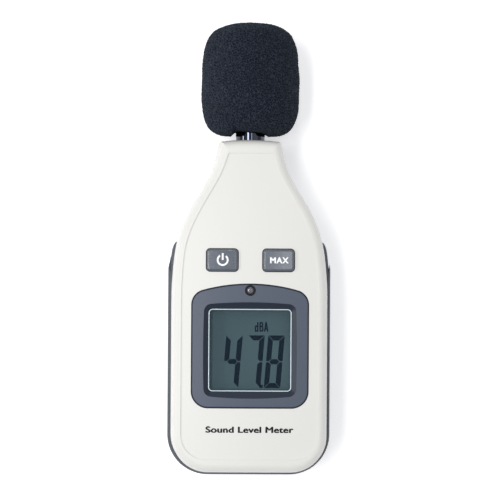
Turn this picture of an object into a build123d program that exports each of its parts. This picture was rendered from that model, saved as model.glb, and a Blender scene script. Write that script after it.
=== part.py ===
from build123d import *
import os

os.makedirs("parts", exist_ok=True)

# Pocket sound level meter lying on its back: X across, +Y towards the microphone, +Z out of the display.

# housing
seam = 16.0
wall = 2.0
skin = 2.6
apex_y = -35.0
apex_z = 32.0
face_bend = 600.0
loft_h = 20.0
lean = 1.0
rim_radius = 3.0
back_radius = 3.2
floor_t = 2.2
side_half = 26.9
body_end = -76.7
corner_r = 12.9
neck_y = 36.9
neck_rise = 0.7
neck_r = 1.2
rear_neck_r = 3.5
neck_drop = 6.7
flank = [(10.5, neck_y), (13.2, 26.7), (18.7, 16.8), (23.0, 8.6), (25.6, -0.3)]
flank += [(26.6, -9.5), (side_half, -20)]
rail_half = 28.0
rail_end = -77.9
rail_r = 13.9
rail_low = 3.6
rail_flank = [(24.4, 2.7), (26.2, 1.1), (27.0, -2.6), (27.7, -8.2), (rail_half, -17.7)]
panel_half = 23.4
panel_end = -71.6
panel_r = 8.4
panel_sink = 0.35
panel_flank = [(7.6, 32.6), (10.7, 24.6), (14.0, 18.7), (18.4, 10.7), (22.0, 1.1)]
panel_flank += [(23.1, -8.7), (panel_half, -20)]

# display
bezel_half = 19.8
bezel_top = -11.95
bezel_end = -53.95
arch_drop = 3.4
window_y = -34.4
window_w = 28.2
window_h = 28.0
window_z = 30.3
lcd_top = 27.3
lcd_low = 25.2
sensor_y = -14.1
sensor_r = 1.3

# keys
key_x = 9.55
key_y = -3.85
key_w = 10.6
key_h = 7.45
key_gap = 0.3
key_proud = 1.0
dome_top = 22.95

# microphone
mic_z = 17.2
tube_r = 5.0
tube_bore = 4.3
tube_tip = 71.1
tube_root = 28.0
foam_low = 38.9
foam_top = 77.8
foam_r = 16.75

# circuit board
board_low = 19.4
board_top = 21.0
board_half = 18.8
board_end = -66.0
board_neck_y = 7.0
board_screws = [(16, 4.2), (-16, 4.2), (16, -62.5), (-16, -62.5)]
case_screws_at = [(22.2, -55), (-22.2, -55), (14, 12), (-14, 12)]
trimmer_y = 11.0

# batteries
cell_r = 5.1
cell_len = 43.5
cell_nub = 1.0
cell_pitch = 11.2
cell_z = 7.75
bay_half = 17.3
bay_low = -70.0
bay_high = -18.0
bay_roof = 13.4
door_half = 18.2
door_tongue = 19.2
door_high = -17.3
door_low_z = 0.3
door_top_z = 2.0
play = 0.1


def outline(side, half, end, corner, inset, lead=(0.3, -1), rise=0.0, tip_r=0.0):
    """Symmetric plan outline: neck end, curved flank, straight side, round corner, lower end."""
    points = [(x - inset, y) for x, y in side]
    tip = side[0][1] - inset
    points[0] = (points[0][0], tip)
    with BuildSketch() as plan:
        with BuildLine():
            if rise:
                TangentArc((0, tip + rise), points[0], tangent=(1, 0))
            else:
                Line((0, tip), points[0])
            curve = Spline(*points, tangents=(lead, (0, -1)))
            straight = Line(curve @ 1, (half - inset, end + corner))
            turn = JernArc(straight @ 1, (0, -1), corner - inset, -90)
            Line(turn @ 1, (0, end + inset))
            mirror(about=Plane.YZ)
        make_face()
        if tip_r:
            fillet(plan.vertices().filter_by_position(Axis.Y, tip - 0.01, tip + 0.01), tip_r)
    return plan.sketch


def body_plan(inset, tip_r=0.0):
    return outline(flank, side_half, body_end, corner_r, inset, (0.3, -1), neck_rise, tip_r)


def rail_plan(inset):
    return outline(rail_flank, rail_half, rail_end, rail_r, inset, (1, -0.2))


panel_plan = outline(panel_flank, panel_half, panel_end, panel_r, 0, (0.3, -1), 0, 0.8)

with BuildSketch() as bezel_plan:
    with BuildLine():
        arch_low = bezel_top - arch_drop
        arch = ThreePointArc((-bezel_half, arch_low), (0, bezel_top), (bezel_half, arch_low))
        Polyline(arch @ 1, (bezel_half, bezel_end), (-bezel_half, bezel_end), arch @ 0)
    make_face()
    fillet(bezel_plan.vertices().group_by(Axis.Y)[-1], 5.0)
    fillet(bezel_plan.vertices().group_by(Axis.Y)[0], 5.6)

# tool: everything above the crowned front face
with BuildPart() as crown:
    with BuildSketch(Plane.XY.offset(apex_z - face_bend)):
        with BuildLine():
            reach = apex_y + face_bend
            front_arc = ThreePointArc((-40, reach - 3.6), (0, reach), (40, reach - 3.6))
            Polyline(front_arc @ 1, (40, reach + 14), (-40, reach + 14), front_arc @ 0)
        make_face()
    revolve(axis=Axis((0, apex_y, apex_z - face_bend), (1, 0, 0)))

# tool: everything behind the back face
with BuildPart() as behind:
    with BuildSketch(Plane.YZ):
        with BuildLine():
            Polyline((2, 0), (-95, 0), (-95, -15), (60, -15), (60, neck_drop), (30, neck_drop))
            Spline((2, 0), (30, neck_drop), tangents=((1, 0), (1, 0)))
        make_face()
    extrude(amount=45, both=True)


def above(height):
    return crown.part.moved(Location((0, 0, height)))


with BuildPart() as front_cavity:
    with BuildSketch(Plane.XY.offset(seam)):
        add(body_plan(wall))
    with BuildSketch(Plane.XY.offset(seam + loft_h)):
        add(body_plan(wall + lean))
    loft(ruled=True)
    add(above(-skin), mode=Mode.SUBTRACT)

with BuildPart() as panel_recess:
    with BuildSketch(Plane.XY.offset(20)):
        add(panel_plan)
    extrude(amount=20)
    add(above(-panel_sink), mode=Mode.INTERSECT)

# tool: the rear half as one solid, before it is hollowed
with BuildPart() as rear_form:
    with BuildSketch(Plane.XY.offset(seam)):
        add(body_plan(0, rear_neck_r))
    with BuildSketch(Plane.XY.offset(seam - loft_h)):
        add(body_plan(lean, rear_neck_r))
    loft(ruled=True)
    add(behind.part, mode=Mode.SUBTRACT)
    back_edges = rear_form.faces().filter_by(lambda f: f.normal_at().Z < -0.6).edges()
    back_edges = back_edges.filter_by(lambda e: abs(e.center().X) > 5 or e.center().Y < -70)
    fillet(back_edges, back_radius)

with BuildPart() as rear_cavity:
    with BuildSketch(Plane.XY.offset(seam)):
        add(body_plan(wall))
    with BuildSketch(Plane.XY.offset(seam - loft_h)):
        add(body_plan(wall + lean))
    loft(ruled=True)
    add(behind.part.moved(Location((0, 0, floor_t))), mode=Mode.SUBTRACT)

# battery bay walls, screw posts and tube saddle, kept inside the rear form
with BuildPart() as rear_ribs:
    with BuildSketch(Plane.XY.offset(0.5)):
        add(body_plan(wall))
        with Locations((0, -46)):
            Rectangle(42, 63, mode=Mode.INTERSECT)
    extrude(amount=3.7)
    with BuildSketch(Plane.XY.offset(2.0)):
        with Locations((0, (bay_low + bay_high) / 2)):
            Rectangle(2 * bay_half + 2.4, bay_high - bay_low + 2.4)
    extrude(amount=bay_roof + 1.2 - 2.0)
    with BuildSketch(Plane.XY):
        with Locations(*case_screws_at):
            Circle(2.9)
    extrude(amount=14)
    with BuildSketch(Plane.XY.offset(6)):
        with Locations((0, 30.5)):
            Rectangle(20.6, 2)
    extrude(amount=seam - 6)
    add(rear_form.part, mode=Mode.INTERSECT)

with BuildPart() as tube_space:
    with BuildSketch(Plane.XZ.offset(-tube_root)):
        with Locations((0, mic_z)):
            Circle(tube_r + 0.05)
    extrude(amount=-15)

# front shell
with BuildPart() as front_shell:
    with BuildSketch(Plane.XY.offset(seam)):
        add(body_plan(0))
    with BuildSketch(Plane.XY.offset(seam + loft_h)):
        add(body_plan(lean))
    loft(ruled=True)
    add(crown.part, mode=Mode.SUBTRACT)
    fillet(front_shell.faces().sort_by(Axis.Z)[-1].edges(), rim_radius)
    with BuildSketch(Plane.XY.offset(seam - 1)):
        with Locations((0, 40)):
            Rectangle(40, 13)
        add(body_plan(0, neck_r), mode=Mode.SUBTRACT)
    extrude(amount=18, mode=Mode.SUBTRACT)
    add(panel_recess.part, mode=Mode.SUBTRACT)
    add(front_cavity.part, mode=Mode.SUBTRACT)
    with BuildSketch(Plane.XY.offset(14.2)):
        with Locations(*case_screws_at):
            Circle(2.6)
    extrude(amount=14.3)
    with BuildSketch(Plane.XY.offset(board_top)):
        with Locations(*board_screws):
            Circle(2.4)
    extrude(amount=7.5)
    with BuildSketch(Plane.XY.offset(seam)):
        with Locations((0, 30.5)):
            Rectangle(20.6, 2)
    extrude(amount=10.5)
    with BuildSketch(Plane.XY.offset(14)):
        with Locations(*case_screws_at):
            Circle(1.2)
    extrude(amount=11, mode=Mode.SUBTRACT)
    with BuildSketch(Plane.XY.offset(board_top)):
        with Locations(*board_screws):
            Circle(1.05)
    extrude(amount=6, mode=Mode.SUBTRACT)
    with BuildSketch(Plane.XY.offset(26)):
        add(bezel_plan.sketch)
        offset(amount=0.2)
    extrude(amount=10, mode=Mode.SUBTRACT)
    with BuildSketch(Plane.XY.offset(26)):
        with Locations((-key_x, key_y), (key_x, key_y)):
            RectangleRounded(key_w + 2 * key_gap, key_h + 2 * key_gap, 1.5)
    extrude(amount=10, mode=Mode.SUBTRACT)
    add(tube_space.part, mode=Mode.SUBTRACT)
front_shell.part.label = "front_shell"
export_step(front_shell.part, "parts/front_shell.step")

# rear shell with its raised rail, battery bay and door track
with BuildPart() as rear_shell:
    for low, low_inset, high, high_inset in (
        (rail_low, 0.8, rail_low + 0.8, 0),
        (rail_low + 0.8, 0, seam - 0.4, 0),
        (seam - 0.4, 0, seam, 0.35),
    ):
        with BuildSketch(Plane.XY.offset(low)):
            add(rail_plan(low_inset))
        with BuildSketch(Plane.XY.offset(high)):
            add(rail_plan(high_inset))
        loft(ruled=True)
    add(rear_form.part)
    add(rear_cavity.part, mode=Mode.SUBTRACT)
    add(rear_ribs.part)
    with BuildSketch(Plane.XY.offset(-1)):
        with Locations((0, (bay_low + bay_high) / 2)):
            Rectangle(2 * bay_half, bay_high - bay_low)
    extrude(amount=bay_roof + 1, mode=Mode.SUBTRACT)
    with BuildSketch(Plane.XY.offset(-1)):
        with Locations((0, door_high + play)):
            Rectangle(2 * (door_half + play), 80, align=(Align.CENTER, Align.MAX))
    extrude(amount=1 + door_top_z + play, mode=Mode.SUBTRACT)
    with BuildSketch(Plane.XY.offset(0.9)):
        with Locations((0, door_high + play)):
            Rectangle(2 * (door_tongue + play), 80, align=(Align.CENTER, Align.MAX))
    extrude(amount=door_top_z + play - 0.9, mode=Mode.SUBTRACT)
    with BuildSketch(Plane.XY.offset(-1)):
        with Locations(*case_screws_at):
            Circle(2.4)
    extrude(amount=7, mode=Mode.SUBTRACT)
    with BuildSketch(Plane.XY.offset(-1)):
        with Locations(*case_screws_at):
            Circle(1.3)
        with Locations((0, trimmer_y)):
            Circle(1.7)
    extrude(amount=16, mode=Mode.SUBTRACT)
    with BuildSketch(Plane.XY.offset(-1)):
        with Locations((0, -8)):
            RectangleRounded(28.4, 11.4, 1.2)
    extrude(amount=1.25, mode=Mode.SUBTRACT)
    add(tube_space.part, mode=Mode.SUBTRACT)
rear_shell.part.label = "rear_shell"
export_step(rear_shell.part, "parts/rear_shell.step")

with BuildPart() as battery_door:
    with BuildSketch(Plane.XY.offset(door_low_z)):
        with Locations((0, door_high)):
            Rectangle(2 * door_half, 70, align=(Align.CENTER, Align.MAX))
    extrude(amount=door_top_z - door_low_z)
    with BuildSketch(Plane.XY.offset(1.0)):
        with Locations((0, door_high)):
            Rectangle(2 * door_tongue, 70, align=(Align.CENTER, Align.MAX))
    extrude(amount=door_top_z - 1.0)
    add(rear_form.part, mode=Mode.INTERSECT)
    with BuildSketch(Plane.XY.offset(door_low_z)):
        with Locations((0, -25), (0, -28), (0, -31)):
            SlotOverall(16, 1.4)
        with Locations((0, -36)):
            Triangle(a=6, b=6, c=6, rotation=180)
    extrude(amount=0.5, mode=Mode.SUBTRACT)
battery_door.part.label = "battery_door"
export_step(battery_door.part, "parts/battery_door.step")

with BuildPart() as rating_label:
    with BuildSketch(Plane.XY.offset(0.05)):
        with Locations((0, -8)):
            RectangleRounded(28, 11, 1.0)
    extrude(amount=0.2)
rating_label.part.label = "rating_label"
export_step(rating_label.part, "parts/rating_label.step")

# display
with BuildPart() as bezel_flange:
    with BuildSketch(Plane.XY.offset(27.4)):
        add(bezel_plan.sketch)
        offset(amount=1.2)
    extrude(amount=8)
    with BuildSketch(Plane.XY.offset(27)):
        add(bezel_plan.sketch)
        offset(amount=-0.4)
    extrude(amount=9, mode=Mode.SUBTRACT)
    add(above(-skin - 0.1), mode=Mode.SUBTRACT)

with BuildPart() as display_bezel:
    with BuildSketch(Plane.XY.offset(27.4)):
        add(bezel_plan.sketch)
        with Locations((0, window_y)):
            Rectangle(window_w + 2.8, window_h + 2.8, mode=Mode.SUBTRACT)
    extrude(amount=window_z - 27.4)
    with BuildSketch(Plane.XY.offset(window_z)):
        add(bezel_plan.sketch)
        with Locations((0, window_y)):
            RectangleRounded(window_w, window_h, 1.0, mode=Mode.SUBTRACT)
    extrude(amount=5)
    add(above(-0.1), mode=Mode.SUBTRACT)
    fillet(display_bezel.faces().sort_by(Axis.Z)[-1].outer_wire().edges(), 0.5)
    with BuildSketch(Plane.XY.offset(window_z - 0.2)):
        with Locations((0, window_y)):
            RectangleRounded(window_w - 0.3, window_h - 0.3, 0.85)
    with BuildSketch(Plane.XY.offset(window_z + 1.9)):
        with Locations((0, window_y)):
            RectangleRounded(window_w + 6.3, window_h + 6.3, 3.8)
    loft(ruled=True, mode=Mode.SUBTRACT)
    with BuildSketch(Plane.XY.offset(26)):
        with Locations((0, sensor_y)):
            Circle(sensor_r + 0.05)
    extrude(amount=8, mode=Mode.SUBTRACT)
    with BuildSketch(Plane.XY.offset(31.1)):
        with Locations((0, sensor_y)):
            Circle(1.85)
    extrude(amount=2, mode=Mode.SUBTRACT)
    add(bezel_flange.part)
display_bezel.part.label = "display_bezel"
export_step(display_bezel.part, "parts/display_bezel.step")

with BuildPart() as display_window:
    with BuildSketch(Plane.XY.offset(29.0)):
        with Locations((0, window_y)):
            RectangleRounded(window_w + 2.6, window_h + 2.6, 0.8)
    extrude(amount=window_z - 29.0)
display_window.part.label = "display_window"
export_step(display_window.part, "parts/display_window.step")

with BuildPart() as light_pipe:
    with BuildSketch(Plane.XY.offset(22.6)):
        with Locations((0, sensor_y)):
            Circle(sensor_r)
    extrude(amount=9.0)
    fillet(light_pipe.faces().sort_by(Axis.Z)[-1].edges(), 0.9)
light_pipe.part.label = "light_pipe"
export_step(light_pipe.part, "parts/light_pipe.step")

with BuildPart() as photodiode:
    with BuildSketch(Plane.XY.offset(board_top)):
        with Locations((0, sensor_y)):
            Rectangle(3.2, 2.6)
    extrude(amount=1.4)
photodiode.part.label = "photodiode"
export_step(photodiode.part, "parts/photodiode.step")

with BuildPart() as lcd_glass:
    with BuildSketch(Plane.XY.offset(lcd_low)):
        with Locations((0, window_y)):
            Rectangle(32, 32)
    extrude(amount=lcd_top - lcd_low)
lcd_glass.part.label = "lcd_glass"
export_step(lcd_glass.part, "parts/lcd_glass.step")

with BuildPart() as lcd_frame:
    with BuildSketch(Plane.XY.offset(board_top)):
        with Locations((0, window_y)):
            RectangleRounded(35.6, 35.2, 1.0)
            Rectangle(31.2, 31.4, mode=Mode.SUBTRACT)
    extrude(amount=lcd_top - board_top)
    with BuildSketch(Plane.XY.offset(lcd_low)):
        with Locations((0, window_y)):
            Rectangle(32.3, 32.3)
    extrude(amount=4, mode=Mode.SUBTRACT)
lcd_frame.part.label = "lcd_frame"
export_step(lcd_frame.part, "parts/lcd_frame.step")

with BuildPart() as backlight_guide:
    with BuildSketch(Plane.XY.offset(board_top + 0.8)):
        with Locations((0, window_y)):
            Rectangle(28, 25.4)
    extrude(amount=3.3)
    chamfer(backlight_guide.faces().sort_by(Axis.Z)[0].edges().filter_by(Axis.Y), 1.0)
backlight_guide.part.label = "backlight_guide"
export_step(backlight_guide.part, "parts/backlight_guide.step")

with BuildPart() as backlight_leds:
    with BuildSketch(Plane.XY.offset(board_top)):
        with Locations((-14.8, window_y), (14.8, window_y)):
            Rectangle(1.2, 3.2)
    extrude(amount=2.2)
backlight_leds.part.label = "backlight_leds"
export_step(backlight_leds.part, "parts/backlight_leds.step")

with BuildPart() as contact_strips:
    with BuildSketch(Plane.XY.offset(board_top)):
        with Locations((0, window_y - 14.4), (0, window_y + 14.4)):
            Rectangle(30, 2.2)
    extrude(amount=lcd_low - board_top)
contact_strips.part.label = "contact_strips"
export_step(contact_strips.part, "parts/contact_strips.step")

# keys and the rubber domes under them
for name, x in (("power", -key_x), ("max", key_x)):
    with BuildPart() as button:
        with BuildSketch(Plane.XY.offset(27.6)):
            with Locations((x, key_y)):
                RectangleRounded(key_w, key_h, 1.2)
        extrude(amount=6)
        add(above(key_proud - panel_sink), mode=Mode.SUBTRACT)
        fillet(button.faces().sort_by(Axis.Z)[-1].edges(), 0.8)
        with BuildSketch(Plane.XY.offset(26.9)):
            with Locations((x, key_y)):
                RectangleRounded(key_w + 1.4, key_h + 1.4, 1.2)
        extrude(amount=0.8)
        with BuildSketch(Plane.XY.offset(dome_top + 0.03)):
            with Locations((x, key_y)):
                Circle(1.9)
        extrude(amount=27.0 - dome_top)
    button.part.label = name + "_button"
    export_step(button.part, "parts/" + name + "_button.step")
    with BuildPart() as dome:
        with BuildSketch(Plane.XZ.offset(-key_y)):
            with BuildLine():
                Polyline((1.6, board_top), (4.6, board_top), (4.6, 21.5), (3.4, 21.6), (2.3, dome_top))
                Polyline((2.3, dome_top), (0, dome_top), (0, 22.3), (1.2, 22.3), (1.6, board_top))
            make_face()
        revolve(axis=Axis((0, key_y, 0), (0, 0, 1)))
    export_dome = dome.part.moved(Location((x, 0, 0)))
    export_dome.label = name + "_dome"
    export_step(export_dome, "parts/" + name + "_dome.step")

# main board and what is soldered to it
with BuildPart() as main_board:
    with BuildSketch(Plane.XY.offset(board_low)) as board_plan:
        with Locations((0, board_end)):
            Rectangle(2 * board_half, board_neck_y - board_end, align=(Align.CENTER, Align.MIN))
        with Locations((0, 0)):
            Rectangle(14, 27, align=(Align.CENTER, Align.MIN))
        fillet(board_plan.vertices(), 1.2)
        with Locations(*board_screws):
            Circle(1.2, mode=Mode.SUBTRACT)
    extrude(amount=board_top - board_low)
main_board.part.label = "main_board"
export_step(main_board.part, "parts/main_board.step")

with BuildPart() as main_ic:
    with BuildSketch(Plane.XY.offset(board_low - 1.7)):
        with Locations((0, -34)):
            RectangleRounded(12, 12, 0.4)
    extrude(amount=1.5)
    with BuildSketch(Plane.XY.offset(board_low - 0.9)):
        with Locations((0, -34)):
            with GridLocations(0, 1.2, 1, 9):
                Rectangle(14.4, 0.45)
            with GridLocations(1.2, 0, 9, 1):
                Rectangle(0.45, 14.4)
    extrude(amount=0.9)
main_ic.part.label = "main_ic"
export_step(main_ic.part, "parts/main_ic.step")

with BuildPart() as op_amps:
    with BuildSketch(Plane.XY.offset(board_top + 0.2)):
        with Locations((0, 12), (0, 21)):
            Rectangle(4, 5)
    extrude(amount=1.5)
    with BuildSketch(Plane.XY.offset(board_top)):
        with Locations((0, 12), (0, 21)):
            with GridLocations(0, 1.27, 1, 4):
                Rectangle(6, 0.45)
    extrude(amount=0.8)
op_amps.part.label = "op_amps"
export_step(op_amps.part, "parts/op_amps.step")

with BuildPart() as crystal:
    with BuildSketch(Plane.XY.offset(board_low - 3.4)):
        with Locations((7, -11)):
            SlotOverall(10.2, 4.2)
    extrude(amount=3.4)
    fillet(crystal.faces().sort_by(Axis.Z)[0].edges(), 0.5)
crystal.part.label = "crystal"
export_step(crystal.part, "parts/crystal.step")

with BuildPart() as capacitors:
    with BuildSketch(Plane.XY.offset(board_low - 8)):
        with Locations((-11, -2.5), (-3.8, -2.5), (11, -2.5)):
            Circle(3.0)
    extrude(amount=8)
    fillet(capacitors.faces().group_by(Axis.Z)[0].edges(), 0.4)
capacitors.part.label = "capacitors"
export_step(capacitors.part, "parts/capacitors.step")

with BuildPart() as chip_parts:
    with BuildSketch(Plane.XY.offset(board_low - 0.6)):
        with Locations((0, -54)):
            with GridLocations(3.6, 3.2, 6, 3):
                Rectangle(2.0, 1.2)
    extrude(amount=0.6)
chip_parts.part.label = "chip_parts"
export_step(chip_parts.part, "parts/chip_parts.step")

with BuildPart() as trimmer_body:
    with BuildSketch(Plane.XY.offset(board_low - 4)):
        with Locations((0, trimmer_y)):
            RectangleRounded(6.6, 6.6, 0.5)
    extrude(amount=4)
    with BuildSketch(Plane.XY.offset(board_low - 4.2)):
        with Locations((0, trimmer_y)):
            Circle(2.25)
    extrude(amount=1.8, mode=Mode.SUBTRACT)
trimmer_body.part.label = "trimmer_body"
export_step(trimmer_body.part, "parts/trimmer_body.step")

with BuildPart() as trimmer_rotor:
    with BuildSketch(Plane.XY.offset(board_low - 4.5)):
        with Locations((0, trimmer_y)):
            Circle(2.2)
    extrude(amount=2.05)
    with BuildSketch(Plane.XY.offset(board_low - 4.6)):
        with Locations((0, trimmer_y)):
            Rectangle(5, 0.6)
    extrude(amount=0.8, mode=Mode.SUBTRACT)
trimmer_rotor.part.label = "trimmer_rotor"
export_step(trimmer_rotor.part, "parts/trimmer_rotor.step")

with BuildPart() as board_screw_set:
    with BuildSketch(Plane.XY.offset(board_low - 1.5)):
        with Locations(*board_screws):
            Circle(2.2)
    extrude(amount=1.5)
    fillet(board_screw_set.faces().group_by(Axis.Z)[0].edges(), 0.6)
    with BuildSketch(Plane.XY.offset(board_low - 0.1)):
        with Locations(*board_screws):
            Circle(1.0)
    extrude(amount=6.5)
    with BuildSketch(Plane.XY.offset(board_low - 1.6)):
        with Locations(*board_screws):
            Rectangle(2.2, 0.5)
            Rectangle(0.5, 2.2)
    extrude(amount=0.9, mode=Mode.SUBTRACT)
board_screw_set.part.label = "board_screws"
export_step(board_screw_set.part, "parts/board_screws.step")

with BuildPart() as case_screw_set:
    with BuildSketch(Plane.XY.offset(4.2)):
        with Locations(*case_screws_at):
            Circle(2.1)
    extrude(amount=1.8)
    fillet(case_screw_set.faces().group_by(Axis.Z)[0].edges(), 0.6)
    with BuildSketch(Plane.XY.offset(5.9)):
        with Locations(*case_screws_at):
            Circle(1.15)
    extrude(amount=17)
    with BuildSketch(Plane.XY.offset(4.0)):
        with Locations(*case_screws_at):
            Rectangle(2.4, 0.55)
            Rectangle(0.55, 2.4)
    extrude(amount=1.2, mode=Mode.SUBTRACT)
case_screw_set.part.label = "case_screws"
export_step(case_screw_set.part, "parts/case_screws.step")

# microphone
along = Plane(origin=(0, 0, mic_z), x_dir=(-1, 0, 0), z_dir=(0, 1, 0))

with BuildPart() as mic_tube:
    with BuildSketch(along.offset(tube_root)):
        Circle(tube_r)
    extrude(amount=tube_tip - tube_root)
    fillet(mic_tube.faces().sort_by(Axis.Y)[-1].edges(), 0.4)
    with BuildSketch(along.offset(32.4)):
        Circle(6.6)
    extrude(amount=1.5)
    with BuildSketch(along.offset(tube_root - 1)):
        Circle(tube_bore)
    extrude(amount=60, mode=Mode.SUBTRACT)
mic_tube.part.label = "mic_tube"
export_step(mic_tube.part, "parts/mic_tube.step")

with BuildPart() as tube_ring:
    with BuildSketch(Plane.YZ):
        with Locations((34.34, mic_z + 5.5)):
            Circle(0.42)
    revolve(axis=Axis((0, 0, mic_z), (0, 1, 0)))
tube_ring.part.label = "tube_ring"
export_step(tube_ring.part, "parts/tube_ring.step")

with BuildPart() as mic_grille:
    with BuildSketch(along.offset(tube_tip - 1.4)):
        Circle(tube_bore - 0.02)
        with PolarLocations(2.6, 6):
            Circle(0.55, mode=Mode.SUBTRACT)
        Circle(0.55, mode=Mode.SUBTRACT)
    extrude(amount=0.8)
mic_grille.part.label = "mic_grille"
export_step(mic_grille.part, "parts/mic_grille.step")

with BuildPart() as mic_capsule:
    with BuildSketch(along.offset(tube_tip - 7.0)):
        Circle(3.0)
    extrude(amount=5.2)
    fillet(mic_capsule.faces().sort_by(Axis.Y)[-1].edges(), 0.3)
    with BuildSketch(along.offset(tube_tip - 2.2)):
        with PolarLocations(1.3, 3):
            Circle(0.4)
    extrude(amount=1, mode=Mode.SUBTRACT)
mic_capsule.part.label = "mic_capsule"
export_step(mic_capsule.part, "parts/mic_capsule.step")

with BuildPart() as capsule_bush:
    with BuildSketch(along.offset(tube_tip - 8.4)):
        Circle(tube_bore - 0.02)
        Circle(3.03, mode=Mode.SUBTRACT)
    extrude(amount=6.6)
capsule_bush.part.label = "capsule_bush"
export_step(capsule_bush.part, "parts/capsule_bush.step")

with BuildPart() as mic_leads:
    with BuildLine() as lead:
        FilletPolyline((1.5, 63.6, mic_z), (1.5, 34, mic_z), (1.5, 24, 19.0), radius=14)
    with BuildSketch(Plane(origin=lead.line @ 0, z_dir=lead.line % 0)):
        Circle(0.35)
    sweep(path=lead.line)
    mirror(about=Plane.YZ)
mic_leads.part.label = "mic_leads"
export_step(mic_leads.part, "parts/mic_leads.step")

with BuildPart() as foam_windscreen:
    with BuildSketch(Plane.YZ):
        with BuildLine():
            Bezier((foam_low, mic_z + 8), (39.2, mic_z + 13.6), (43, mic_z + 16.4), (52, mic_z + foam_r))
            Bezier((52, mic_z + foam_r), (63, mic_z + foam_r), (70, mic_z + 16.7), (73.5, mic_z + 13.9))
            Bezier((73.5, mic_z + 13.9), (76.2, mic_z + 11.7), (foam_top, mic_z + 6.4), (foam_top, mic_z))
            Polyline((foam_top, mic_z), (tube_tip + 0.5, mic_z), (tube_tip + 0.5, mic_z + tube_r + 0.05))
            Line((tube_tip + 0.5, mic_z + tube_r + 0.05), (foam_low, mic_z + tube_r + 0.05))
            Line((foam_low, mic_z + tube_r + 0.05), (foam_low, mic_z + 8))
        make_face()
    revolve(axis=Axis((0, 0, mic_z), (0, 1, 0)))
foam_windscreen.part.label = "foam_windscreen"
export_step(foam_windscreen.part, "parts/foam_windscreen.step")

# power supply
cell_low = bay_low + 6.9
with BuildPart() as cell:
    with BuildSketch(along):
        Circle(cell_r)
    extrude(amount=cell_len)
    fillet(cell.edges().filter_by(GeomType.CIRCLE), 0.5)
    with BuildSketch(along.offset(cell_len - 0.1)):
        Circle(1.9)
    extrude(amount=cell_nub + 0.1)

cell_spots = [
    Location((-cell_pitch, cell_low, cell_z - mic_z)),
    Location((0, bay_low + bay_high - cell_low, cell_z - mic_z), (0, 0, 180)),
    Location((cell_pitch, cell_low, cell_z - mic_z)),
]
for number, spot in enumerate(cell_spots, 1):
    placed = cell.part.moved(spot)
    placed.label = "battery_" + str(number)
    export_step(placed, "parts/battery_" + str(number) + ".step")

with BuildPart() as coil_form:
    with BuildLine() as coil:
        Helix(pitch=1.45, height=5.6, radius=3.0, center=(0, 0, 0), direction=(0, 1, 0))
    with BuildSketch(Plane(origin=coil.line @ 0, z_dir=coil.line % 0)):
        Circle(0.35)
    sweep(path=coil.line, is_frenet=True)

with BuildPart() as cell_springs:
    for x, y, turn in (
        (-cell_pitch, bay_low + 0.9, 0),
        (0, bay_high - 0.9, 180),
        (cell_pitch, bay_low + 0.9, 0),
    ):
        add(coil_form.part.moved(Location((x, y, cell_z), (0, 0, turn))))
cell_springs.part.label = "cell_springs"
export_step(cell_springs.part, "parts/cell_springs.step")

with BuildPart() as contact_plates:
    for y in (bay_low + 0.05, bay_high - 0.45):
        with BuildSketch(Plane.XZ.offset(-y)):
            with Locations((0, cell_z)):
                with GridLocations(cell_pitch, 0, 3, 1):
                    RectangleRounded(8.6, 9, 0.8)
                if y > -40:
                    with Locations((-cell_pitch / 2, 0)):
                        Rectangle(6, 3)
                if y < -40:
                    with Locations((cell_pitch / 2, 0)):
                        Rectangle(6, 3)
        extrude(amount=-0.4)
contact_plates.part.label = "contact_plates"
export_step(contact_plates.part, "parts/contact_plates.step")

for colour, side in (("red", 1), ("black", -1)):
    with BuildPart() as wire:
        with BuildLine() as run:
            FilletPolyline(
                (side * 15.6, -16.7, 8.5),
                (side * 15.6, -11.0, 8.5),
                (side * 15.6, -11.0, board_low - 0.05),
                radius=4,
            )
        with BuildSketch(Plane(origin=run.line @ 0, z_dir=run.line % 0)):
            Circle(0.6)
        sweep(path=run.line)
    wire.part.label = "battery_lead_" + colour
    export_step(wire.part, "parts/battery_lead_" + colour + ".step")
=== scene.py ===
import math

import bmesh
import bpy
from mathutils import Matrix, Vector, noise
from mathutils.bvhtree import BVHTree


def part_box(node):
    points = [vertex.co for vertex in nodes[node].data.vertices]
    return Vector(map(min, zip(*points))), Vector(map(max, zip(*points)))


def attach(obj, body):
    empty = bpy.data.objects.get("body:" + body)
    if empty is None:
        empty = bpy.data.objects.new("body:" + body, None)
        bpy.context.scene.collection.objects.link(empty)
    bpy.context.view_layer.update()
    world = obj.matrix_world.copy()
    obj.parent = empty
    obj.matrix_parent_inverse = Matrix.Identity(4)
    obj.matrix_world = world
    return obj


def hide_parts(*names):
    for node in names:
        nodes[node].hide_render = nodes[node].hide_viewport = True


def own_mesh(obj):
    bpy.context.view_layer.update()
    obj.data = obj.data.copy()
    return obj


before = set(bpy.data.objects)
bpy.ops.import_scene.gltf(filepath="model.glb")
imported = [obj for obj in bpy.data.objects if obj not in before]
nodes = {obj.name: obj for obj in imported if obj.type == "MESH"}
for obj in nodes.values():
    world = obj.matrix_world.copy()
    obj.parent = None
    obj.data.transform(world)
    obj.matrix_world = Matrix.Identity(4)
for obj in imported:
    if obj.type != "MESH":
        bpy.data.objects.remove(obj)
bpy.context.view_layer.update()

MM = 0.001

# ---------------------------------------------------------------- materials


def new_material(name):
    mat = bpy.data.materials.new(name)
    mat.use_nodes = True
    mat.node_tree.nodes.clear()
    return mat, mat.node_tree.nodes, mat.node_tree.links


def shader(tree_nodes, links, base, rough, metallic=0.0):
    out = tree_nodes.new("ShaderNodeOutputMaterial")
    bsdf = tree_nodes.new("ShaderNodeBsdfPrincipled")
    bsdf.inputs["Base Color"].default_value = (*base, 1)
    bsdf.inputs["Roughness"].default_value = rough
    bsdf.inputs["Metallic"].default_value = metallic
    links.new(bsdf.outputs["BSDF"], out.inputs["Surface"])
    return bsdf


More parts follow.
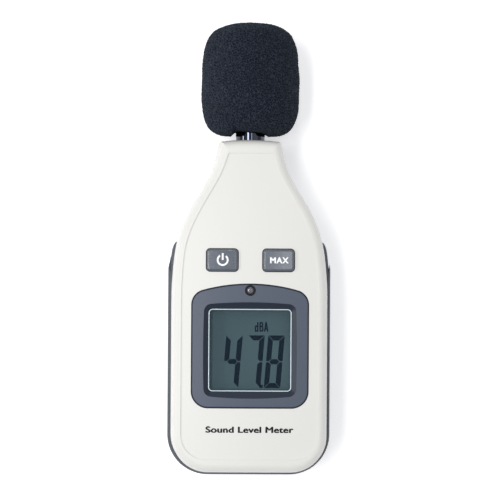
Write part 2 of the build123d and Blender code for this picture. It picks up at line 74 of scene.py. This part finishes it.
def object_coords(tree_nodes):
    return tree_nodes.new("ShaderNodeTexCoord").outputs["Object"]


def noise_field(tree_nodes, links, coords, size, detail=2.0, rough=0.5):
    """Noise whose features are about size metres across."""
    tex = tree_nodes.new("ShaderNodeTexNoise")
    tex.inputs["Scale"].default_value = 1.0 / size
    tex.inputs["Detail"].default_value = detail
    tex.inputs["Roughness"].default_value = rough
    links.new(coords, tex.inputs["Vector"])
    return tex.outputs["Fac"]


def span(tree_nodes, links, value, low, high, start=0.3, stop=0.7):
    """value, which runs mostly from start to stop, mapped to low..high."""
    node = tree_nodes.new("ShaderNodeMapRange")
    node.inputs["From Min"].default_value = start
    node.inputs["From Max"].default_value = stop
    node.inputs["To Min"].default_value = low
    node.inputs["To Max"].default_value = high
    links.new(value, node.inputs["Value"])
    return node.outputs["Result"]


def tint(tree_nodes, links, fac, colour_a, colour_b):
    node = tree_nodes.new("ShaderNodeMix")
    node.data_type = "RGBA"
    node.inputs["A"].default_value = (*colour_a, 1)
    node.inputs["B"].default_value = (*colour_b, 1)
    links.new(fac, node.inputs["Factor"])
    return node.outputs["Result"]


def bump(tree_nodes, links, height, depth, bsdf, strength=1.0):
    node = tree_nodes.new("ShaderNodeBump")
    node.inputs["Strength"].default_value = strength
    node.inputs["Distance"].default_value = depth
    links.new(height, node.inputs["Height"])
    links.new(node.outputs["Normal"], bsdf.inputs["Normal"])


def shade(colour, k):
    return tuple(c * k for c in colour)


def moulded(name, base, rough, grain=0.00045, depth=0.00001, spread=0.06, coat=0.0, gloss=0.5):
    """Moulded plastic: fine spark-eroded grain, slow colour drift and uneven gloss."""
    mat, n, links = new_material(name)
    bsdf = shader(n, links, base, rough)
    bsdf.inputs["Specular IOR Level"].default_value = gloss
    bsdf.inputs["Coat Weight"].default_value = coat
    bsdf.inputs["Coat Roughness"].default_value = 0.12
    at = object_coords(n)
    drift = span(n, links, noise_field(n, links, at, 0.035, 3), 0, 1)
    colour = tint(n, links, drift, shade(base, 1 - spread / 2), shade(base, 1 + spread / 2))
    links.new(colour, bsdf.inputs["Base Color"])
    fine = noise_field(n, links, at, grain, 3, 0.6)
    links.new(span(n, links, fine, rough - 0.05, rough + 0.07), bsdf.inputs["Roughness"])
    bump(n, links, fine, depth, bsdf)
    return mat


def metal(name, base, rough, streak=None, depth=0.000004):
    """Metal with fine scratches along one axis, or an even satin where streak is None."""
    mat, n, links = new_material(name)
    bsdf = shader(n, links, base, rough, 1.0)
    at = object_coords(n)
    if streak:
        stretch = n.new("ShaderNodeMapping")
        stretch.inputs["Scale"].default_value = streak
        links.new(at, stretch.inputs["Vector"])
        at = stretch.outputs["Vector"]
    fine = noise_field(n, links, at, 0.0006, 4, 0.65)
    links.new(span(n, links, fine, rough * 0.75, rough * 1.4), bsdf.inputs["Roughness"])
    colour = tint(n, links, span(n, links, fine, 0, 1), shade(base, 0.93), shade(base, 1.05))
    links.new(colour, bsdf.inputs["Base Color"])
    bump(n, links, fine, depth, bsdf)
    return mat


def rubbery(name, base, rough=0.7):
    mat, n, links = new_material(name)
    bsdf = shader(n, links, base, rough)
    bsdf.inputs["Specular IOR Level"].default_value = 0.35
    at = object_coords(n)
    fine = noise_field(n, links, at, 0.0004, 3)
    tone = tint(n, links, span(n, links, fine, 0, 1), shade(base, 0.85), shade(base, 1.15))
    links.new(tone, bsdf.inputs["Base Color"])
    bump(n, links, fine, 0.00001, bsdf)
    return mat


def bezel_material(name, flat, slope_painted_shade):
    """Moulded bezel: satin on its face; the slope down to the window is painted darker, as painted shade.
    """
    mat = moulded(name, flat, 0.40, depth=0.000010, gloss=0.35)
    n, links = mat.node_tree.nodes, mat.node_tree.links
    bsdf = next(node for node in n if node.type == "BSDF_PRINCIPLED")
    coords = n.new("ShaderNodeTexCoord")
    split = n.new("ShaderNodeSeparateXYZ")
    links.new(coords.outputs["Normal"], split.inputs["Vector"])
    # painted shade: faces that tilt away from straight up take the darker colour
    slope_shade_mask = span(n, links, split.outputs["Z"], 0, 1, 0.86, 0.97)
    links.new(tint(n, links, slope_shade_mask, slope_painted_shade, flat), bsdf.inputs["Base Color"])
    return mat


def clear_window(name):
    """Thin clear acrylic: mostly see-through, with a real gloss and faint smears."""
    mat, n, links = new_material(name)
    bsdf = shader(n, links, (0.03, 0.04, 0.05), 0.06)
    bsdf.inputs["Alpha"].default_value = 0.06
    bsdf.inputs["IOR"].default_value = 1.49
    at = object_coords(n)
    smear = noise_field(n, links, at, 0.012, 4, 0.6)
    links.new(span(n, links, smear, 0.05, 0.13), bsdf.inputs["Roughness"])
    return mat


def lcd_face(name):
    """Grey-green reflective LCD with a slow drift of tone and a very fine polariser texture."""
    mat, n, links = new_material(name)
    base = (0.060, 0.106, 0.122)
    bsdf = shader(n, links, base, 0.3)
    at = object_coords(n)
    drift = span(n, links, noise_field(n, links, at, 0.03, 2), 0, 1)
    colour = tint(n, links, drift, shade(base, 0.93), shade(base, 1.09))
    links.new(colour, bsdf.inputs["Base Color"])
    bsdf.inputs["Specular IOR Level"].default_value = 0.12
    fine = noise_field(n, links, at, 0.0003, 2)
    links.new(span(n, links, fine, 0.26, 0.36), bsdf.inputs["Roughness"])
    return mat


def foam_material(name):
    """Open-cell polyurethane foam: the pores painted darker than the struts between them, as painted shade,
    with random lighter specks on the struts.
    """
    mat, n, links = new_material(name)
    bsdf = shader(n, links, (0.012, 0.017, 0.028), 0.92)
    bsdf.inputs["Specular IOR Level"].default_value = 0.25
    bsdf.inputs["Sheen Weight"].default_value = 0.07
    bsdf.inputs["Sheen Roughness"].default_value = 0.6
    bsdf.inputs["Sheen Tint"].default_value = (0.55, 0.65, 0.85, 1)
    at = object_coords(n)
    cell = n.new("ShaderNodeTexVoronoi")
    cell.feature = "DISTANCE_TO_EDGE"
    cell.inputs["Scale"].default_value = 1 / 0.00085
    links.new(at, cell.inputs["Vector"])
    strut = span(n, links, cell.outputs["Distance"], 1, 0, 0.0, 0.17)
    speck = noise_field(n, links, at, 0.0006, 3, 0.7)
    pore_shade_and_specks = n.new("ShaderNodeMath")
    pore_shade_and_specks.operation = "MULTIPLY"
    links.new(strut, pore_shade_and_specks.inputs[0])
    links.new(span(n, links, speck, 0.0, 1.6, 0.40, 0.62), pore_shade_and_specks.inputs[1])
    # painted shade: the pores take the darker colour, the struts where specks fall the lighter one
    colour = tint(n, links, pore_shade_and_specks.outputs["Value"], (0.0010, 0.0036, 0.0100), (0.0370, 0.0500, 0.0760))
    links.new(colour, bsdf.inputs["Base Color"])
    bump(n, links, pore_shade_and_specks.outputs["Value"], 0.0003, bsdf, 0.8)
    return mat


def board_material(name):
    """Green solder mask with a faint hint of copper underneath."""
    mat, n, links = new_material(name)
    bsdf = shader(n, links, (0.01, 0.11, 0.04), 0.35)
    at = object_coords(n)
    brick = n.new("ShaderNodeTexBrick")
    brick.inputs["Scale"].default_value = 220
    brick.inputs["Mortar Size"].default_value = 0.03
    brick.inputs["Color1"].default_value = (0.008, 0.10, 0.035, 1)
    brick.inputs["Color2"].default_value = (0.012, 0.13, 0.045, 1)
    brick.inputs["Mortar"].default_value = (0.03, 0.20, 0.06, 1)
    links.new(at, brick.inputs["Vector"])
    links.new(brick.outputs["Color"], bsdf.inputs["Base Color"])
    return mat


def cell_wrap(name):
    """Printed sleeve of a battery cell: dark blue, with a fine random drift of tone."""
    mat, n, links = new_material(name)
    bsdf = shader(n, links, (0.03, 0.07, 0.16), 0.28)
    at = object_coords(n)
    fine = noise_field(n, links, at, 0.004, 3)
    colour = tint(n, links, span(n, links, fine, 0, 1), (0.025, 0.06, 0.14), (0.035, 0.08, 0.18))
    links.new(colour, bsdf.inputs["Base Color"])
    return mat


cream = moulded("cream_plastic", (0.70, 0.695, 0.665), 0.42, depth=0.000012, spread=0.025)
slate = moulded("slate_plastic", (0.060, 0.070, 0.088), 0.36, depth=0.000014)
# the second colour is painted shade for the bezel's slope down to the window
bezel = bezel_material("bezel_plastic", (0.068, 0.084, 0.120), (0.018, 0.026, 0.042))
key_gloss = moulded("key_plastic", (0.088, 0.104, 0.132), 0.24, depth=0.000002, coat=0.4)
window = clear_window("clear_window")
lcd = lcd_face("lcd_face")
ink_lcd = moulded("lcd_ink", (0.0012, 0.010, 0.022), 0.4, depth=0.000001, gloss=0.06)
ink_white = moulded("white_ink", (0.93, 0.94, 0.95), 0.5, depth=0.000002, spread=0.02)
ink_black = moulded("black_ink", (0.006, 0.006, 0.008), 0.5, depth=0.000002, gloss=0.2)
# painted highlight: pale colour for the bead that stands in for light caught by the window's edge
edge_highlight_paint = moulded("painted_edge_highlight", (0.62, 0.72, 0.80), 0.18, depth=0.000001, coat=0.8)
lens = moulded("lens_plastic", (0.10, 0.10, 0.13), 0.10, depth=0.000001, coat=1.0)
label = moulded("label_paper", (0.36, 0.37, 0.39), 0.5, depth=0.000004)
chrome = metal("polished_tube", (0.060, 0.068, 0.088), 0.03, (1, 0.02, 1), 0.0000004)
steel = metal("brushed_steel", (0.60, 0.60, 0.60), 0.32)
can = metal("can_aluminium", (0.72, 0.72, 0.74), 0.38)
brass = metal("brass", (0.72, 0.53, 0.24), 0.30)
nickel = metal("nickel_plate", (0.66, 0.64, 0.60), 0.30)
gasket = rubbery("gasket_rubber", (0.012, 0.012, 0.014))
dome = rubbery("dome_rubber", (0.30, 0.30, 0.30))
zebra = rubbery("contact_rubber", (0.10, 0.09, 0.10))
chip = moulded("chip_epoxy", (0.016, 0.016, 0.017), 0.6)
ceramic = moulded("chip_ceramic", (0.28, 0.19, 0.12), 0.5)
white_part = moulded("white_nylon", (0.72, 0.72, 0.71), 0.5)
guide = moulded("light_guide", (0.70, 0.76, 0.78), 0.15, depth=0.000001, coat=0.6)
led = moulded("led_resin", (0.80, 0.72, 0.38), 0.2, depth=0.000001)
trimmer = moulded("trimmer_blue", (0.03, 0.09, 0.35), 0.5)
red_wire = rubbery("red_wire", (0.42, 0.02, 0.02), 0.5)
black_wire = rubbery("black_wire", (0.015, 0.015, 0.016), 0.5)
foam = foam_material("foam")
board = board_material("solder_mask")
cell = cell_wrap("cell_wrap")

FINISHES = {
    "front_shell": cream,
    "rear_shell": slate,
    "battery_door": slate,
    "rating_label": label,
    "display_bezel": bezel,
    "display_window": window,
    "light_pipe": lens,
    "photodiode": chip,
    "lcd_glass": lcd,
    "lcd_frame": white_part,
    "backlight_guide": guide,
    "backlight_leds": led,
    "contact_strips": zebra,
    "power_button": key_gloss,
    "max_button": key_gloss,
    "power_dome": dome,
    "max_dome": dome,
    "main_board": board,
    "main_ic": chip,
    "op_amps": chip,
    "crystal": steel,
    "capacitors": can,
    "chip_parts": ceramic,
    "trimmer_body": trimmer,
    "trimmer_rotor": brass,
    "board_screws": steel,
    "case_screws": steel,
    "mic_tube": chrome,
    "tube_ring": gasket,
    "mic_grille": steel,
    "mic_capsule": can,
    "capsule_bush": gasket,
    "mic_leads": black_wire,
    "foam_windscreen": foam,
    "battery_1": cell,
    "battery_2": cell,
    "battery_3": cell,
    "cell_springs": steel,
    "contact_plates": nickel,
    "battery_lead_red": red_wire,
    "battery_lead_black": black_wire,
}
for node_name, finish in FINISHES.items():
    mesh = nodes[node_name].data
    mesh.materials.clear()
    mesh.materials.append(finish)

# ---------------------------------------------------------------- mesh helpers


def piece_from(name, points, faces, finish, body):
    mesh = bpy.data.meshes.new(name)
    mesh.from_pydata(points, [], faces)
    mesh.validate()
    mesh.update()
    obj = bpy.data.objects.new(name, mesh)
    bpy.context.scene.collection.objects.link(obj)
    mesh.materials.append(finish)
    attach(obj, body)
    return obj


def surface_of(node_name):
    """Looks up the height of a CAD node's outer surface from straight above."""
    bm = bmesh.new()
    bm.from_mesh(nodes[node_name].data)
    tree = BVHTree.FromBMesh(bm)
    bm.free()

    def height(x, y):
        hit = tree.ray_cast(Vector((x, y, 0.1)), Vector((0, 0, -1)))[0]
        return hit.z

    return height


def prism(outlines, height, thick, sink):
    """Closed prisms over flat outlines, laid on the surface that height(x, y) gives."""
    points = []
    faces = []
    for outline in outlines:
        start = len(points)
        count = len(outline)
        for x, y in outline:
            points.append((x, y, height(x, y) - sink))
        for x, y in outline:
            points.append((x, y, height(x, y) + thick))
        faces.append([start + i for i in reversed(range(count))])
        faces.append([start + count + i for i in range(count)])
        for i in range(count):
            j = (i + 1) % count
            faces.append([start + i, start + j, start + count + j, start + count + i])
    return points, faces


def text_mesh(name, words, spacing):
    """Flat outline mesh of some words with the built-in font."""
    curve = bpy.data.curves.new(name + "_font", "FONT")
    curve.body = words
    curve.space_character = spacing
    curve.resolution_u = 6
    holder = bpy.data.objects.new(name + "_font", curve)
    bpy.context.scene.collection.objects.link(holder)
    bpy.context.view_layer.update()
    mesh = bpy.data.meshes.new_from_object(holder.evaluated_get(bpy.context.evaluated_depsgraph_get()))
    bpy.data.objects.remove(holder)
    bpy.data.curves.remove(curve)
    return mesh


def printed(name, words, at, width, tall, bold, on, finish, body, spacing):
    """Words printed on a surface, a few hundredths of a millimetre thick, fitted to a width and height.

    bold is how far the strokes are spread, in metres: three shifted copies of the words overlap.
    """
    flat = text_mesh(name, words, spacing)
    xs = [v.co.x for v in flat.vertices]
    ys = [v.co.y for v in flat.vertices]
    mid_x = (min(xs) + max(xs)) / 2
    mid_y = (min(ys) + max(ys)) / 2
    kx = (width - 2 * bold) / (max(xs) - min(xs))
    ky = (tall - bold) / (max(ys) - min(ys))
    bm = bmesh.new()
    for k, (dx, dy) in enumerate(((-bold, -bold / 2), (0, bold / 2), (bold, -bold / 2))):
        copy = bmesh.new()
        copy.from_mesh(flat)
        bmesh.ops.remove_doubles(copy, verts=copy.verts, dist=1e-6)
        raised = bmesh.ops.extrude_face_region(copy, geom=copy.faces[:])["geom"]
        top = {v for v in raised if isinstance(v, bmesh.types.BMVert)}
        for v in copy.verts:
            y = (v.co.y - mid_y) * ky + dy
            x = (v.co.x - mid_x) * kx + at[0] + dx
            y += at[1]
            v.co = Vector((x, y, on(x, y) + (0.03 + 0.002 * k if v in top else -0.02) * MM))
        bmesh.ops.recalc_face_normals(copy, faces=copy.faces[:])
        part = bpy.data.meshes.new(name + "_layer")
        copy.to_mesh(part)
        copy.free()
        bm.from_mesh(part)
        bpy.data.meshes.remove(part)
    mesh = bpy.data.meshes.new(name)
    bm.to_mesh(mesh)
    bm.free()
    bpy.data.meshes.remove(flat)
    mesh.materials.append(finish)
    obj = bpy.data.objects.new(name, mesh)
    bpy.context.scene.collection.objects.link(obj)
    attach(obj, body)
    return obj


# ---------------------------------------------------------------- display


def unit_outlines(left, bottom):
    """Outlines of the strokes of d, B and A, which stand side by side from left."""
    strokes = [((1.0, 0), (1.0, 3.2)), ((1.1, 0.2), (0.2, 0.2)), ((0.2, 0), (0.2, 2.0))]
    strokes += [((0.2, 1.8), (1.1, 1.8))]
    strokes += [((1.8, 0), (1.8, 3.2)), ((1.8, 3.0), (2.6, 3.0)), ((2.6, 3.0), (2.6, 1.7))]
    strokes += [((1.8, 1.7), (2.6, 1.7)), ((2.7, 1.6), (2.7, 0.2)), ((1.8, 0.2), (2.7, 0.2))]
    strokes += [((3.3, 0), (3.85, 3.2)), ((3.85, 3.2), (4.4, 0)), ((3.5, 0.9), (4.2, 0.9))]
    half = 0.22 * MM
    outlines = []
    for start, end in strokes:
        a = Vector((left + start[0] * MM, bottom + start[1] * MM))
        b = Vector((left + end[0] * MM, bottom + end[1] * MM))
        along = (b - a).normalized()
        side = Vector((-along.y, along.x)) * half
        outlines.append([p.to_tuple() for p in (a - side, b - side, b + side, a + side)])
    return outlines


def figure_outlines(left, bottom, tall):
    """Outlines of the seven bars of one figure, with mitred ends, keyed a to g as usual."""
    wide = 5.6 * MM
    b = 1.7 * MM
    g = 0.13 * MM
    x0, x1 = left, left + wide
    y0, y1, y2 = bottom, bottom + tall / 2, bottom + tall
    h = b / 2
    return {
        "a": [(x0 + g, y2), (x1 - g, y2), (x1 - b - g, y2 - b), (x0 + b + g, y2 - b)],
        "d": [(x0 + b + g, y0 + b), (x1 - b - g, y0 + b), (x1 - g, y0), (x0 + g, y0)],
        "f": [(x0, y2 - g), (x0 + b, y2 - b - g), (x0 + b, y1 + h + g), (x0 + h, y1 + g), (x0, y1 + g * 2)],
        "b": [(x1, y2 - g), (x1, y1 + g * 2), (x1 - h, y1 + g), (x1 - b, y1 + h + g), (x1 - b, y2 - b - g)],
        "e": [(x0, y1 - g * 2), (x0 + h, y1 - g), (x0 + b, y1 - h - g), (x0 + b, y0 + b + g), (x0, y0 + g)],
        "c": [(x1, y1 - g * 2), (x1, y0 + g), (x1 - b, y0 + b + g), (x1 - b, y1 - h - g), (x1 - h, y1 - g)],
        "g": [
            (x0 + h + 2 * g, y1),
            (x0 + b + g, y1 + h),
            (x1 - b - g, y1 + h),
            (x1 - h - 2 * g, y1),
            (x1 - b - g, y1 - h),
            (x0 + b + g, y1 - h),
        ],
    }


def reading_outlines(cx, baseline):
    """Outlines of the reading 47.8, leaning a little to the right."""
    tall = 17.9 * MM
    slant = 0.082
    lit = (("fgbc", cx - 9.45 * MM), ("abc", cx - 1.95 * MM), ("abcdefg", cx + 4.85 * MM))
    outlines = []
    for bars, left in lit:
        shapes = figure_outlines(left, baseline, tall)
        for key in bars:
            outlines.append([(x + (y - baseline) * slant, y) for x, y in shapes[key]])
    dot = cx + 3.4 * MM
    side = 1.1 * MM
    top = baseline + side
    outlines.append([(dot, baseline), (dot, top), (dot + side, top), (dot + side, baseline)])
    return outlines


def display():
    """What the LCD shows, and a pale bead round the window's edge as a painted highlight."""
    low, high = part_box("display_window")
    cx = (low[0] + high[0]) / 2
    cy = (low[1] + high[1]) / 2
    lcd_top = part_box("lcd_glass")[1][2]
    baseline = cy - 12.95 * MM
    points, faces = prism(reading_outlines(cx, baseline), lambda x, y: lcd_top, 0.03 * MM, 0.02 * MM)
    piece_from("lcd_segments", points, faces, ink_lcd, "case")
    unit = unit_outlines(cx + 1.7 * MM, baseline + 19.2 * MM)
    points, faces = prism(unit, lambda x, y: lcd_top, 0.03 * MM, 0.02 * MM)
    piece_from("lcd_unit", points, faces, ink_lcd, "case")
    # painted highlight: a pale glossy bead stands in for the light line along the window's edge
    bead = 0.17 * MM
    half_x = high[0] - 1.3 * MM - bead
    half_y = (high[1] - low[1]) / 2 - 1.3 * MM - bead
    ring("window_edge", cx, cy, half_x, half_y, 1.25 * MM, bead, high[2], edge_highlight_paint)


def sensor_recess_shade():
    """Dark ring laid in the recess between the sensor lens and the bezel, as painted shade of the recess.
    """
    low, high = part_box("light_pipe")
    cx = (low[0] + high[0]) / 2
    cy = (low[1] + high[1]) / 2
    r = (high[0] - low[0]) / 2 + 0.27 * MM
    # painted shade: a dark ring in the recess round the sensor lens
    ring("sensor_recess_painted_shade", cx, cy, r, r, r, 0.26 * MM, high[2] - 0.42 * MM, gasket, 12)


def rounded_path(cx, cy, half_x, half_y, r, steps=8):
    """Points round a rounded rectangle, anticlockwise."""
    path = []
    corners = ((1, 1, 0), (-1, 1, 90), (-1, -1, 180), (1, -1, 270))
    for sx, sy, start in corners:
        ox = cx + sx * (half_x - r)
        oy = cy + sy * (half_y - r)
        for i in range(steps + 1):
            a = math.radians(start + 90 * i / steps)
            path.append((ox + r * math.cos(a), oy + r * math.sin(a)))
    return path


def ring(name, cx, cy, half_x, half_y, r, t, z, finish, steps=8):
    """A thin half-round bead that follows a rounded rectangle."""
    path = rounded_path(cx, cy, half_x, half_y, r * 0.999, steps)
    count = len(path)
    section = [(math.cos(math.radians(a)), math.sin(math.radians(a))) for a in range(-20, 201, 22)]
    points = []
    for i, (x, y) in enumerate(path):
        ax, ay = path[i - 1]
        bx, by = path[(i + 1) % count]
        normal = Vector((by - ay, ax - bx)).normalized()
        for u, v in section:
            points.append((x + normal.x * u * t, y + normal.y * u * t, z + v * t * 0.9))
    faces = []
    m = len(section)
    for i in range(count):
        j = (i + 1) % count
        for k in range(m):
            q = (k + 1) % m
            faces.append([i * m + k, j * m + k, j * m + q, i * m + q])
    obj = piece_from(name, points, faces, finish, "case")
    for poly in obj.data.polygons:
        poly.use_smooth = True
    return obj


# ---------------------------------------------------------------- keys and printing


def power_symbol():
    low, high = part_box("power_button")
    cx = (low[0] + high[0]) / 2 + 0.1 * MM
    cy = (low[1] + high[1]) / 2 + 0.02 * MM
    on = surface_of("power_button")
    outer = 2.0 * MM
    inner = 1.4 * MM
    arc = [math.radians(a) for a in range(122, 419, 9)]
    outlines = []
    for a, b in zip(arc[:-1], arc[1:]):
        outlines.append([
            (cx + inner * math.cos(a), cy + inner * math.sin(a)),
            (cx + outer * math.cos(a), cy + outer * math.sin(a)),
            (cx + outer * math.cos(b), cy + outer * math.sin(b)),
            (cx + inner * math.cos(b), cy + inner * math.sin(b)),
        ])
    bar = 0.3 * MM
    top = cy + 2.3 * MM
    outlines.append([(cx - bar, cy), (cx + bar, cy), (cx + bar, top), (cx - bar, top)])
    points, faces = prism(outlines, on, 0.03 * MM, 0.02 * MM)
    piece_from("power_symbol", points, faces, ink_white, "power_key")


def lettering():
    low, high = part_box("max_button")
    cx = (low[0] + high[0]) / 2
    cy = (low[1] + high[1]) / 2
    printed(
        "max_lettering", "MAX", (cx + 0.2 * MM, cy + 0.05 * MM), 6.3 * MM, 2.1 * MM, 0.12 * MM,
        surface_of("max_button"), ink_white, "max_key", 1.12,
    )
    printed(
        "front_lettering", "Sound Level Meter", (0, -61.3 * MM), 29.9 * MM, 2.2 * MM, 0.17 * MM,
        surface_of("front_shell"), ink_black, "case", 1.04,
    )


def rubber_dome(key):
    """Hollow dome under a key, in place of the CAD dome; the real one gives way as the key goes down, this
    mesh is not made to.
    """
    low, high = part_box(key + "_dome")
    cx = (low[0] + high[0]) / 2
    cy = (low[1] + high[1]) / 2
    wide = (high[0] - low[0]) / 2
    tall = high[2] - low[2]
    profile = [(wide * 0.35, 0), (wide, 0), (wide, 0.5 * MM), (wide * 0.74, 0.6 * MM), (wide * 0.5, tall)]
    profile += [(0.05 * MM, tall), (0.05 * MM, tall * 0.67), (wide * 0.26, tall * 0.67)]
    around = 48
    rows = len(profile)
    points = []
    for r, z in profile:
        for k in range(around):
            a = 2 * math.pi * k / around
            points.append((cx + r * math.cos(a), cy + r * math.sin(a), low[2] + z))
    faces = []
    for i in range(rows):
        j = (i + 1) % rows
        for k in range(around):
            q = (k + 1) % around
            faces.append([i * around + k, i * around + q, j * around + q, j * around + k])
    obj = piece_from(key + "_rubber_dome", points, faces, dome, "case")
    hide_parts(key + "_dome")
    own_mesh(obj)


# ---------------------------------------------------------------- foam windscreen


def bezier(p, t):
    a, b, c, d = p
    s = 1 - t
    return tuple(s**3 * a[i] + 3 * s * s * t * b[i] + 3 * s * t * t * c[i] + t**3 * d[i] for i in (0, 1))


def foam_profile(length, radius, bore):
    """Half section of the foam as (distance from its mouth, radius): the blind bore, then the outside."""
    blind = length - 6.2 * MM
    spans = [
        ([(0, 8), (0.2, 14.0), (3.4, 16.4), (12.6, radius / MM)], 66),
        ([(12.6, radius / MM), (24.1, radius / MM), (31.1, 16.6), (34.6, 13.8)], 98),
        ([(34.6, 13.8), (37.3, 11.6), (length / MM, 6.4), (length / MM, 0.3)], 58),
    ]
    profile = [(blind, 0.3 * MM), (blind, bore * 0.6), (blind, bore)]
    profile += [(blind * (1 - i / 12), bore) for i in range(1, 12)]
    profile += [(0, bore), (0, 6.5 * MM)]
    for control, count in spans:
        for i in range(count):
            y, r = bezier(control, i / count)
            profile.append((y * MM, r * MM))
    profile.append((length, 0.3 * MM))
    return profile


def turned(profile, cx, start, cz, around):
    """Closed body made by turning a profile about the microphone axis."""
    bm = bmesh.new()
    made = []
    for y, r in profile:
        for k in range(around):
            a = 2 * math.pi * k / around
            made.append(bm.verts.new((cx + r * math.cos(a), start + y, cz + r * math.sin(a))))
    rows = len(profile)
    for i in range(rows - 1):
        for k in range(around):
            q = (k + 1) % around
            quad = (i * around + k, i * around + q, (i + 1) * around + q, (i + 1) * around + k)
            bm.faces.new([made[v] for v in quad])
    bm.faces.new(made[:around][::-1])
    bm.faces.new(made[-around:])
    bmesh.ops.recalc_face_normals(bm, faces=bm.faces[:])
    bm.normal_update()
    return bm


def open_cells(bm, cx, start, cz, bore):
    """Roughens the outside into open cells: rounded pits with torn struts between them."""
    shift = {}
    for v in bm.verts:
        p = v.co
        r = math.hypot(p.x - cx, p.z - cz)
        if r < bore + 0.3 * MM and p.y > start + 0.5 * MM:
            continue
        near = noise.voronoi(p * (1 / 0.00085), distance_metric="DISTANCE", exponent=2.5)[0]
        pit = max(0.0, 0.32 - (near[1] - near[0])) / 0.32
        swell = noise.noise(p * 180) * 0.22 + noise.noise(p * 70 + Vector((3, 1, 2))) * 0.16
        grain = noise.noise(p * 2100) * 0.12
        depth = -0.24 + pit * 0.42 + swell + grain
        shift[v] = v.normal * min(0.3, depth) * MM
    for v, move in shift.items():
        v.co += move


def dented_mouth(bm, cx, start):
    """Pulls the mouth of the foam back a little over the tube, more on the left."""
    half = 6.7 * MM
    for v in bm.verts:
        inside = max(0.0, min(1.0, (half - abs(v.co.x - cx)) / (1.3 * MM)))
        inside = inside * inside * (3 - 2 * inside)
        lift = max(0.0, 1 - (v.co.y - start) / (6 * MM))
        lean = 1 - 0.42 * (v.co.x - cx) / half
        v.co.y += 1.1 * MM * inside * lift * lean


def windscreen():
    """Slide-on foam ball in open-cell foam, in place of the plain solid."""
    low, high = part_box("foam_windscreen")
    cx = (low[0] + high[0]) / 2
    cz = (low[2] + high[2]) / 2
    bore = 5.1 * MM
    profile = foam_profile(high[1] - low[1], (high[0] - low[0]) / 2, bore)
    bm = turned(profile, cx, low[1], cz, 400)
    open_cells(bm, cx, low[1], cz, bore)
    dented_mouth(bm, cx, low[1])
    mesh = bpy.data.meshes.new("windscreen_foam")
    bm.to_mesh(mesh)
    bm.free()
    mesh.materials.append(foam)
    obj = bpy.data.objects.new("windscreen_foam", mesh)
    bpy.context.scene.collection.objects.link(obj)
    for poly in mesh.polygons:
        poly.use_smooth = True
    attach(obj, "windscreen")
    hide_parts("foam_windscreen")


# ---------------------------------------------------------------- studio


def paper(name):
    """White floor that glows a little, and is clear when seen from below."""
    mat, n, links = new_material(name)
    bsdf = shader(n, links, (0.90, 0.90, 0.91), 0.9)
    bsdf.inputs["Emission Color"].default_value = (1, 1, 1, 1)
    bsdf.inputs["Emission Strength"].default_value = 0.42
    facing = n.new("ShaderNodeNewGeometry")
    seen_from_below = n.new("ShaderNodeMixShader")
    clear = n.new("ShaderNodeBsdfTransparent")
    links.new(facing.outputs["Backfacing"], seen_from_below.inputs["Fac"])
    links.new(bsdf.outputs["BSDF"], seen_from_below.inputs[1])
    links.new(clear.outputs["BSDF"], seen_from_below.inputs[2])
    out = next(node for node in n if node.type == "OUTPUT_MATERIAL")
    links.new(seen_from_below.outputs["Shader"], out.inputs["Surface"])
    return mat


def floor():
    bm = bmesh.new()
    bmesh.ops.create_grid(bm, x_segments=4, y_segments=4, size=6)
    mesh = bpy.data.meshes.new("floor")
    bm.to_mesh(mesh)
    bm.free()
    ground = bpy.data.objects.new("floor", mesh)
    bpy.context.scene.collection.objects.link(ground)
    ground.location.z = -0.3 * MM
    mesh.materials.append(paper("floor_paper"))


def softbox(name, at, along, across, power, colour):
    """Softbox aimed at the object; along is its length in Y, across its width."""
    light = bpy.data.lights.new(name, "AREA")
    light.shape = "RECTANGLE"
    light.size, light.size_y = along, across
    light.energy = power
    light.color = colour
    lamp = bpy.data.objects.new(name, light)
    lamp.location = at
    lamp.rotation_euler = (Vector((0, 0.02, 0.02)) - Vector(at)).to_track_quat("-Z", "Y").to_euler()
    bpy.context.scene.collection.objects.link(lamp)


def studio():
    floor()
    softbox("key", (-1.25, 0.04, 0.75), 0.9, 0.13, 5.5, (1.0, 0.99, 0.97))
    softbox("overhead_left", (-0.48, 0.04, 1.45), 0.9, 0.30, 11.5, (1.0, 1.0, 1.0))
    softbox("overhead_right", (0.26, 0.04, 1.45), 0.9, 0.14, 2.1, (0.97, 0.98, 1.0))
    softbox("fill", (1.0, -0.1, 1.2), 1.2, 1.2, 1.9, (0.96, 0.97, 1.0))
    softbox("top_edge", (-0.04, 0.95, 1.05), 0.10, 0.5, 1.5, (1.0, 1.0, 1.0))
    world = bpy.data.worlds.new("studio")
    bpy.context.scene.world = world
    world.use_nodes = True
    back = world.node_tree.nodes["Background"]
    back.inputs["Color"].default_value = (0.96, 0.97, 1.0, 1)
    back.inputs["Strength"].default_value = 0.38


def camera():
    span_mm = 172.4
    far = 0.80
    mid_z = 17.2 * MM
    tilt = math.radians(1.43)
    target = Vector((0.00014, -0.0004, mid_z))
    cam = bpy.data.cameras.new("camera")
    cam.sensor_width = 36
    cam.lens = 36 * far / (span_mm * MM)
    cam.clip_start = 0.05
    obj = bpy.data.objects.new("camera", cam)
    bpy.context.scene.collection.objects.link(obj)
    obj.location = target + Vector((-math.sin(tilt), 0, math.cos(tilt))) * far
    forward = (target - obj.location).normalized()
    up = Vector((-math.sin(math.radians(0.36)), math.cos(math.radians(0.36)), 0))
    right = forward.cross(up).normalized()
    up = right.cross(forward)
    obj.matrix_world = Matrix((
        (right.x, up.x, -forward.x, obj.location.x),
        (right.y, up.y, -forward.y, obj.location.y),
        (right.z, up.z, -forward.z, obj.location.z),
        (0, 0, 0, 1),
    ))
    bpy.context.scene.camera = obj


bpy.context.scene.view_settings.view_transform = "Standard"
camera()
studio()
display()
sensor_recess_shade()
power_symbol()
lettering()
rubber_dome("power")
rubber_dome("max")
windscreen()
